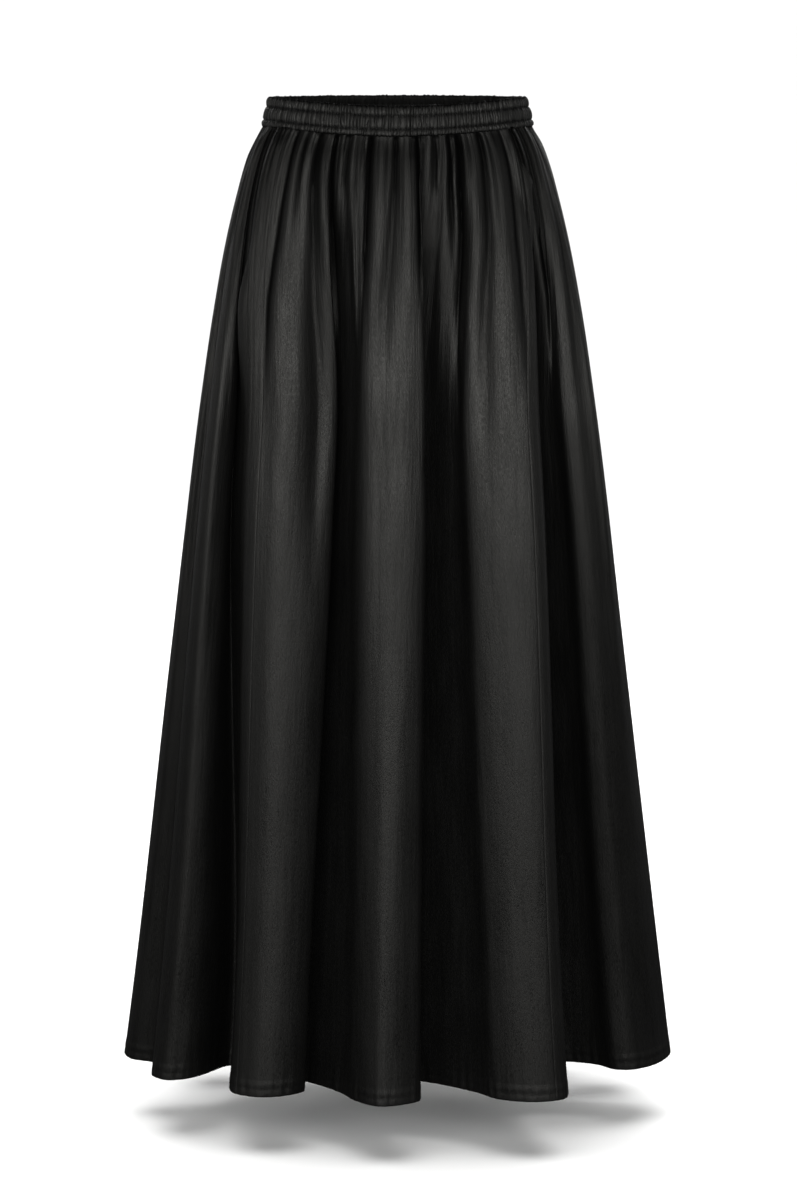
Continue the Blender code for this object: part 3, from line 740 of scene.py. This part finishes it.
class Band:
    """The casing strip: its outer and inner faces as reaches from the ring at each height."""

    def __init__(self):
        self.around, length, self.ring, self.out, self.lift = band_ring()
        chance = np.random.default_rng(RUCHE_SEED)
        top = BAND_HEIGHT / 2
        lines = (top, *TIER_LINES, -top)
        outside, inside = Ruching(length, lines, chance), Ruching(length, lines, chance)
        steps = [np.linspace(high, low, count, endpoint=False)
                 for high, low, count in zip(lines, lines[1:], TIER_ROWS)]
        self.ups = np.concatenate(steps + [[-top]])
        self.inner_ups = np.linspace(-top, top, INNER_ROWS)
        self.outer = np.array([self.face(outside, up) for up in self.ups])
        self.inner = -BAND_INSIDE - INSIDE_SHARE * np.array([self.face(inside, up)
                                                             for up in self.inner_ups])
        self.edge = 0.5 * (outside.at(top, self.around) - RUCHE_DEPTH / 2)

    def face(self, ruching, up):
        """A tier puffs out between its stitch rows, and its puckers are flattest at them."""
        puff = abs(math.sin(math.pi * ruching.tier(up)[1])) ** TIER_POWER
        return TIER_PUFF * puff + ruching.at(up, self.around) * (STITCHED_SHARE
                                                                 + (1 - STITCHED_SHARE) * puff)

    def painted_shade(self):
        """Painted shade for each place of the ring's section, more the deeper in a crease it lies, in the
        order of its rows.
        """
        outer = smooth_step(1 - (self.outer - TIER_PUFF / 2) / (0.4 * RUCHE_DEPTH))
        inner = smooth_step(1 + (self.inner + BAND_INSIDE) / (0.3 * RUCHE_DEPTH))
        rims = [np.repeat(rows, len(ROLLS), axis=0) for rows in (outer[-1:], outer[:1])]
        return np.vstack((outer, rims[0], inner, rims[1])).ravel()

    def place(self, reach, up):
        """Places at a reach from the ring line and a height, for every column."""
        flat = self.ring + self.out * (reach - BAND_FLARE * up / BAND_HEIGHT)[:, None]
        edge = self.edge * smooth_step((abs(up) - RIM_LOW) / (RIM_HIGH - RIM_LOW)) * np.sign(up)
        return np.column_stack((flat, up + self.lift + edge))


def band_piece(band, materials):
    """The waistband as one closed ring."""
    outer = [band.place(reach, up) for reach, up in zip(band.outer, band.ups)]
    inner = [band.place(reach, up) for reach, up in zip(band.inner, band.inner_ups)]
    rolled = []
    for low, high, up in ((band.inner[0], band.outer[-1], -BAND_HEIGHT / 2),
                          (band.inner[-1], band.outer[0], BAND_HEIGHT / 2)):
        for row in ROLLS:
            lifted = (0, 0, math.copysign(row.bulge, up))
            rolled.append(band.place(low + (high - low) * row.share, up) + lifted)
    turns = len(ROLLS)
    rows = outer + rolled[:turns] + inner + rolled[:turns - 1:-1]
    grid = np.arange(len(rows) * BAND_COLUMNS).reshape(len(rows), BAND_COLUMNS)
    faces = grid_faces(np.vstack((grid, grid[:1])), closed=True)
    rim = np.full(turns, BAND_HEIGHT / 2)
    heights = np.concatenate((band.ups, -rim, band.inner_ups, rim))
    up, around = np.meshgrid(heights, band.around, indexing="ij")
    first = (len(band.ups) + turns) * BAND_COLUMNS
    return mesh_piece("ruched_waistband", np.array(rows).reshape(-1, 3), faces, materials,
                      np.column_stack((around.ravel(), up.ravel())), band.painted_shade(),
                      (first, first + (INNER_ROWS - 1) * BAND_COLUMNS))


# ---- nodes

def feed(tree, socket, value):
    """Link a socket to another one, or set its value."""
    if isinstance(value, bpy.types.NodeSocket):
        tree.links.new(value, socket)
    else:
        socket.default_value = value


def add_node(tree, kind, settings=None, values=()):
    """A node with its settings, and with values or links for its sockets by name or number."""
    node = tree.nodes.new(kind)
    for name, value in (settings or {}).items():
        setattr(node, name, value)
    for name, value in dict(values).items():
        feed(tree, node.inputs[name], getattr(value, "socket", value))
    return node


# ---- stitches, by Geometry Nodes

def stitch_tree():
    """A tree that lays thread stitches along the edges of a mesh, end to end."""
    tree = bpy.data.node_groups.new("row_of_stitches", "GeometryNodeTree")
    sockets = {}
    for name, kind in (("Path", "Geometry"), ("Pitch", "Float"), ("Stitch", "Float"),
                       ("Thread", "Float"), ("Material", "Material")):
        sockets[name] = tree.interface.new_socket(name=name, in_out="INPUT",
                                                  socket_type="NodeSocket" + kind)
    tree.interface.new_socket(name="Stitches", in_out="OUTPUT", socket_type="NodeSocketGeometry")

    def add(kind, settings=None, **values):
        return add_node(tree, kind, settings, values).outputs

    given = add("NodeGroupInput")
    path = add("GeometryNodeMeshToCurve", Mesh=given["Path"])
    evened = add("GeometryNodeResampleCurve", {"mode": "LENGTH"}, Curve=path[0], Length=given["Pitch"])
    tangent = add("GeometryNodeInputTangent")
    turned = add("FunctionNodeAlignEulerToVector", {"axis": "X"}, Vector=tangent[0])
    thread = add("GeometryNodeMeshUVSphere", Segments=6, Rings=4, Radius=0.5)
    size = add("ShaderNodeCombineXYZ", X=given["Stitch"], Y=given["Thread"], Z=given["Thread"])
    laid = add("GeometryNodeInstanceOnPoints", Points=evened[0], Instance=thread["Mesh"],
               Rotation=turned[0], Scale=size[0])
    real = add("GeometryNodeRealizeInstances", Geometry=laid[0])
    smooth = add("GeometryNodeSetShadeSmooth", Geometry=real[0])
    dyed = add("GeometryNodeSetMaterial", Geometry=smooth[0], Material=given["Material"])
    add("NodeGroupOutput", Stitches=dyed[0])
    return tree, sockets


def stitch_piece(name, paths, sizes, material, tree, sockets):
    """Stitches along closed paths, as one plain mesh."""
    places, edges = [], []
    for path in paths:
        first = len(places)
        places += [tuple(place) for place in path]
        edges += [(first + i, first + (i + 1) % len(path)) for i in range(len(path))]
    guide = bpy.data.meshes.new(name + "_guide")
    guide.from_pydata(places, edges, [])
    host = add_object(name + "_guide", guide)
    modifier = host.modifiers.new("stitches", "NODES")
    modifier.node_group = tree
    for key, value in (*sizes.items(), ("Material", material)):
        modifier[sockets[key].identifier] = value
    bpy.context.view_layer.update()
    mesh = bpy.data.meshes.new_from_object(host.evaluated_get(bpy.context.evaluated_depsgraph_get()))
    bpy.data.objects.remove(host)
    bpy.data.meshes.remove(guide)
    mesh.name = name
    return add_object(name, mesh)


# ---- materials

CRINKLED = 0.42  # how far down the cloth is finely crinkled
CREASE_SHADE = 0.9  # how much painted shade, as black dull cloth, replaces the gloss deepest in a crease


class Value:
    """A shader socket that takes part in Python sums."""

    def __init__(self, tree, socket):
        self.tree, self.socket = tree, socket

    def _maths(self, operation, *values):
        node = add_node(self.tree, "ShaderNodeMath", {"operation": operation}, enumerate(values))
        return Value(self.tree, node.outputs[0])

    def __add__(self, other): return self._maths("ADD", self, other)
    def __radd__(self, other): return self._maths("ADD", other, self)
    def __sub__(self, other): return self._maths("SUBTRACT", self, other)
    def __rsub__(self, other): return self._maths("SUBTRACT", other, self)
    def __mul__(self, other): return self._maths("MULTIPLY", self, other)
    def __rmul__(self, other): return self._maths("MULTIPLY", other, self)
    def clamped(self): return self._maths("MAXIMUM", self, 0.0)


class Finish:
    """A material and a short way to add its nodes."""

    def __init__(self, name, settings):
        self.material = bpy.data.materials.new(name)
        self.material.use_nodes = True
        self.tree = self.material.node_tree
        self.shader = self.tree.nodes["Principled BSDF"]
        for socket, value in settings.items():
            self.shader.inputs[socket].default_value = value

    def node(self, kind, settings=None, output=0, values=()):
        return Value(self.tree, add_node(self.tree, kind, settings, values).outputs[output])

    def feed(self, socket, value):
        feed(self.tree, socket, value.socket)

    def noise(self, vector, scale, detail=2.0, roughness=0.5):
        return self.node("ShaderNodeTexNoise", values={"Vector": vector, "Scale": scale,
                                                       "Detail": detail, "Roughness": roughness})

    def woven(self, flat, around, along, detail=3.0, roughness=0.5):
        """Noise in the cloth's own directions, so many to the metre round it and down it."""
        stretched = self.node("ShaderNodeMapping", values={"Vector": flat, "Scale": (around, along, 1.0)})
        return self.noise(stretched, 1.0, detail, roughness)

    def shade(self, share):
        """Painted shade: black, dull cloth mixed in deep in the creases, where no light gets in."""
        deep = self.node("ShaderNodeBsdfPrincipled", values={
            "Base Color": (0.001, 0.001, 0.001, 1), "Roughness": 0.9, "Specular IOR Level": 0.05})
        worn = Value(self.tree, self.shader.outputs[0])
        mixed = self.node("ShaderNodeMixShader", values={0: share, 1: worn, 2: deep})
        self.feed(self.tree.nodes["Material Output"].inputs["Surface"], mixed)

    def blend(self, factor, one, other):
        return self.node("ShaderNodeMix", {"data_type": "RGBA"}, "Result",
                         {"Factor": factor, "A": one, "B": other})

    def bump(self, height, distance, under=None):
        values = {"Strength": 1.0, "Distance": distance, "Height": height}
        if under is not None:
            values["Normal"] = under
        return self.node("ShaderNodeBump", values=values)

    def paint(self, colour, roughness, normal):
        """Feed what changes over the surface."""
        for socket, value in (("Base Color", colour), ("Roughness", roughness), ("Normal", normal)):
            self.feed(self.shader.inputs[socket], value)


# dark and light are the cloth's tones, slub is the height of its slubs, crinkle that of the
# fine upright crinkles below the band, and dulling how much rougher they make it.
Satin = namedtuple("Satin", "dark light roughness slub crinkle dulling gloss")
SMOOTH_SATIN = Satin((0.0048, 0.0048, 0.0046, 1), (0.0080, 0.0080, 0.0077, 1),
                     0.45, 0.00045, 0.0008, 0.08, 0.5)
RUCHED_SATIN = Satin((0.0070, 0.0070, 0.0068, 1), (0.0110, 0.0110, 0.0106, 1),
                     0.54, 0.00020, 0.0, 0.0, 0.5)
WRONG_SIDE = Satin((0.0035, 0.0035, 0.0034, 1), (0.0070, 0.0070, 0.0068, 1),
                   0.60, 0.00030, 0.0, 0.0, 0.25)
SATIN_TINT = (1.0, 0.99, 0.94, 1.0)


def satin(name, kind):
    """Black satin: fine floats along the length, slubs, soft creases, an uneven sheen and painted shade in
    its creases.
    """
    finish = Finish(name, {"Metallic": 0.0, "Specular IOR Level": kind.gloss, "Specular Tint": SATIN_TINT})
    flat = finish.node("ShaderNodeUVMap", {"uv_map": "cloth"})
    # the painted crease shade that the mesh carries
    painted_shade = finish.node("ShaderNodeAttribute", {"attribute_name": "painted_shade"}, "Fac")
    floats = finish.woven(flat, 900.0, 260.0, roughness=0.7)
    slubs = finish.woven(flat, 190.0, 20.0)
    creases = finish.woven(flat, 70.0, 40.0, 4.0, 0.6)
    clouds = finish.woven(flat, 26.0, 10.0)
    down = finish.node("ShaderNodeSeparateXYZ", output="Y", values={"Vector": flat})
    near_band = (1 + down * (1 / CRINKLED)).clamped()
    streaked = finish.bump(slubs, kind.slub, finish.bump(creases, 0.00018))
    if kind.crinkle:
        streaked = finish.bump(finish.woven(flat, 400.0, 26.0) * near_band, kind.crinkle, streaked)
    finish.paint(finish.blend(clouds * 0.5 + floats * 0.5, kind.dark, kind.light),
                 kind.roughness + (clouds - 0.5) * 0.26 + (slubs - 0.5) * 0.24
                 + (floats - 0.5) * 0.70 + near_band * kind.dulling,
                 finish.bump(floats, 0.00020, streaked))
    # paint shade into the creases by mixing in black, dull cloth
    finish.shade(painted_shade * CREASE_SHADE)
    return finish.material


def thread_finish():
    """Black sewing thread with a fine twist."""
    finish = Finish("black_thread", {"Metallic": 0.0, "Specular IOR Level": 0.4})
    twist = finish.noise(finish.node("ShaderNodeTexCoord", output="Object"), 2400.0, 1.0)
    finish.paint(finish.blend(twist, (0.010, 0.010, 0.010, 1), (0.030, 0.030, 0.029, 1)),
                 0.45 + twist * 0.2, finish.bump(twist, 0.00006))
    return finish.material


def floor_finish():
    """A plain pale studio floor."""
    finish = Finish("pale_floor", {"Metallic": 0.0, "Specular IOR Level": 0.2})
    mottle = finish.noise(finish.node("ShaderNodeTexCoord", output="Object"), 3.0, 3.0)
    colour = finish.blend(mottle, (0.86, 0.86, 0.855, 1), (0.89, 0.89, 0.885, 1))
    finish.feed(finish.shader.inputs["Base Color"], colour)
    finish.feed(finish.shader.inputs["Roughness"], 0.75 + mottle * 0.1)
    return finish.material


# ---- the studio

FLOOR_SIZE = 80.0
FLOOR_DROP = 0.060  # from the hem down to the floor, as when the skirt is worn
CAMERA_PLACE = (0.0015, -5.2, 0.392)
CAMERA_TILT = 9.55  # degrees below level
CAMERA_LENS = 159.33


def add_camera():
    """The photograph's camera."""
    data = bpy.data.cameras.new("studio_camera")
    data.lens, data.sensor_width, data.sensor_fit = CAMERA_LENS, 36.0, "AUTO"
    camera = add_object("studio_camera", data)
    camera.location = CAMERA_PLACE
    camera.rotation_euler = (math.radians(90 - CAMERA_TILT), 0, 0)
    bpy.context.scene.camera = camera


AIM = (0, 0, -0.3)  # the middle of the upper cloth
Softbox = namedtuple("Softbox", "name place width height power")
SOFTBOXES = (
    Softbox("front_softbox", (0.0, -3.3, 0.5), 5.0, 1.4, 80),
    Softbox("back_softbox", (0.0, 3.3, 0.9), 5.0, 1.4, 55),
    Softbox("right_softbox", (3.0, 1.7, 0.3), 3.2, 2.2, 9.0),
    Softbox("left_softbox", (-3.0, 1.7, 0.3), 3.2, 2.2, 9.0),
    Softbox("right_fill", (3.4, -1.6, 0.2), 1.2, 2.0, 4.0),
    Softbox("left_fill", (-3.4, -1.6, 0.2), 1.2, 2.0, 7.0),
)
OVERHEAD_POWER = 3.85  # an even light from straight above, which the floor takes
OVERHEAD_SPREAD = 60  # degrees
ROOM_LIGHT = 0.012  # what the dark room adds all round
WHITE = (1, 1, 1, 1)


def add_softbox(row):
    """A softbox that faces the cloth and isn't seen itself."""
    data = bpy.data.lights.new(row.name, "AREA")
    data.shape, data.size, data.size_y, data.energy = "RECTANGLE", row.width, row.height, row.power
    light = add_object(row.name, data)
    light.location = row.place
    light.rotation_euler = (Vector(AIM) - Vector(row.place)).to_track_quat("-Z", "Y").to_euler()
    light.visible_camera = False


def add_overhead(floor):
    """An even light from straight above, which flags keep off everything but the floor."""
    data = bpy.data.lights.new("overhead_light", "SUN")
    data.energy, data.angle = OVERHEAD_POWER, math.radians(OVERHEAD_SPREAD)
    light = add_object("overhead_light", data)
    lit = bpy.data.collections.new("lit_from_above")
    lit.objects.link(floor)
    light.light_linking.receiver_collection = lit


def add_world():
    """White round the object for the camera, and nearly dark for the cloth's gloss."""
    world = bpy.data.worlds.new("studio")
    bpy.context.scene.world = world
    world.use_nodes = True
    tree = world.node_tree
    around = tree.nodes["Background"]
    around.inputs["Color"].default_value = WHITE
    around.inputs["Strength"].default_value = ROOM_LIGHT
    seen = add_node(tree, "ShaderNodeBackground", values={"Color": WHITE})
    path = add_node(tree, "ShaderNodeLightPath")
    mixed = add_node(tree, "ShaderNodeMixShader", values={
        0: path.outputs["Is Camera Ray"], 1: around.outputs[0], 2: seen.outputs[0]})
    feed(tree, tree.nodes["World Output"].inputs["Surface"], mixed.outputs[0])


def add_floor():
    """The floor, which stays in the studio."""
    size, low = FLOOR_SIZE / 2, -LENGTH + BAND_HEIGHT / 2 - FLOOR_DROP
    corners = np.array(((-size, -size, low), (size, -size, low), (size, size, low), (-size, size, low)))
    floor = mesh_piece("studio_floor", corners, np.array(((0, 1, 2, 3),)), (floor_finish(),))
    floor.visible_glossy = floor.visible_diffuse = False  # black flags keep its light off the satin
    return floor


# ---- making

STITCH_PLACES = 2400  # places round the hem that its topstitch follows
HEM_STITCHES = {"Pitch": 0.0030, "Stitch": 0.0024, "Thread": 0.00042}
CASING_STITCHES = {"Pitch": 0.0026, "Stitch": 0.0021, "Thread": 0.00040}


def ride_as(piece, node):
    """A piece that stands for a solid and rides on the one body."""
    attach(piece, "root")
    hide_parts(node)


def make_gores(cloth, stitch_kit):
    """The six gores, and the topstitch round their hem."""
    finishes = (satin("black_satin", SMOOTH_SATIN), satin("dull_satin", WRONG_SIDE))
    thread = thread_finish()
    for gore, (start, end) in zip(GORES, seam_ranges(cloth)):
        outer, inner, flat, painted_shade = gore_grids(cloth, start, end)
        side = (len(outer) - 1) * (outer.shape[1] - 1)
        piece = mesh_piece("satin_" + gore.name, *shell(outer, inner), finishes, flat, painted_shade,
                           (side, 2 * side))
        ride_as(piece, "gore_" + gore.name)
        area = GORE_LENGTH * (gore.top_width + gore.hem_width) / 2
    shares = np.linspace(0, 1, STITCH_PLACES, endpoint=False)
    ring, outward, _ = cloth.place(shares, HEM_DROP - HEM_STITCH)
    sunk = STITCH_DIP - HEM_SWELL + hem_puckers(shares, HEM_DROP - HEM_STITCH)
    face = ring - outward * sunk[:, None]
    back = face - outward * HEM_WALL
    row = stitch_piece("hem_topstitch", (face, back), HEM_STITCHES, thread, *stitch_kit)
    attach(row, "root")


def make_band(stitch_kit):
    """The waistband, and the stitch rows through its casing."""
    band = Band()
    piece = band_piece(band, (satin("ruched_black_satin", RUCHED_SATIN),
                              satin("dull_ruched_satin", WRONG_SIDE)))
    ride_as(piece, "waistband")
    rows = []
    for line in TIER_LINES:
        out = int(np.argmin(np.abs(band.ups - line)))
        inside = int(np.argmin(np.abs(band.inner_ups - line)))
        rows += [band.place(band.outer[out], line), band.place(band.inner[inside], line)]
    row = stitch_piece("casing_stitches", rows, CASING_STITCHES, thread_finish(), *stitch_kit)
    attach(row, "root")


def main():
    bpy.context.scene.view_settings.view_transform = "Standard"
    add_camera()
    for row in SOFTBOXES:
        add_softbox(row)
    add_world()
    add_overhead(add_floor())
    stitch_kit = stitch_tree()
    make_gores(Cloth(), stitch_kit)
    make_band(stitch_kit)


main()
bpy.context.view_layer.update()
